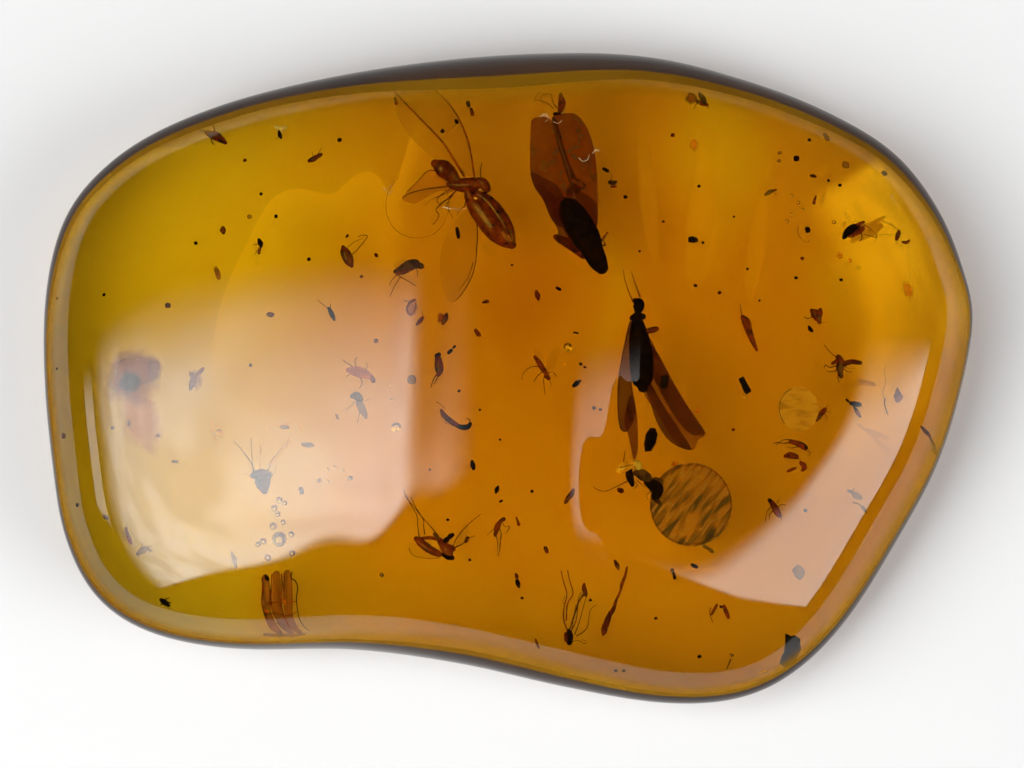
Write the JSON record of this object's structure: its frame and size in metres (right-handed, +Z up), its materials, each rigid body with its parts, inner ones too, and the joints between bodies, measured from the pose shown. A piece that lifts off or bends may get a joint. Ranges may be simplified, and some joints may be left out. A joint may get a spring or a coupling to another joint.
{
  "type": "insect in amber",
  "caption": "Polished amber cabochon with a flat base, insects with spread wings and bark debris sealed inside.",
  "frame": {"origin": "middle of the stone's plan outline box, on its flat base", "axes": "+X along the stone's length, +Y across it, +Z up through the domed face"},
  "size_m": [0.0558, 0.0389, 0.013],
  "materials": {
    "amber": "polished clear honey amber",
    "black_chitin": "black-brown insect chitin",
    "brown_chitin": "brown insect chitin and wings",
    "red_chitin": "red-brown insect chitin",
    "grey_chitin": "grey insect chitin under haze",
    "bark": "charred-looking bark chip",
    "plant_fibre": "dark brown plant tissue"
  },
  "bodies": {
    "root": {"amber_lower_half": "amber", "amber_upper_half": "amber", "ant": "black_chitin", "long_winged_insect": "black_chitin", "cross_fly": "black_chitin", "disc_fly": "black_chitin", "low_fly": "black_chitin", "top_left_fly": "black_chitin", "spread_wing_beetle": "brown_chitin", "broad_winged_insect": "brown_chitin", "mosquito_fly": "brown_chitin", "crane_fly": "brown_chitin", "oval_beetle": "brown_chitin", "right_fly": "brown_chitin", "heart_fly": "brown_chitin", "brow_gnat": "red_chitin", "centre_gnat": "red_chitin", "midge": "red_chitin", "tangled_fly": "red_chitin", "left_fly": "red_chitin", "dark_clot": "red_chitin", "red_spindle": "red_chitin", "hump_fly": "grey_chitin", "small_beetle": "grey_chitin", "larva": "grey_chitin", "mite": "grey_chitin", "far_left_fly": "grey_chitin", "corner_chip": "bark", "long_chip": "bark", "square_chip": "bark", "oval_chip": "bark", "jagged_chip": "bark", "grey_chip": "bark", "twig": "plant_fibre", "fibre_bundle": "plant_fibre"}
  },
  "joints": []
}
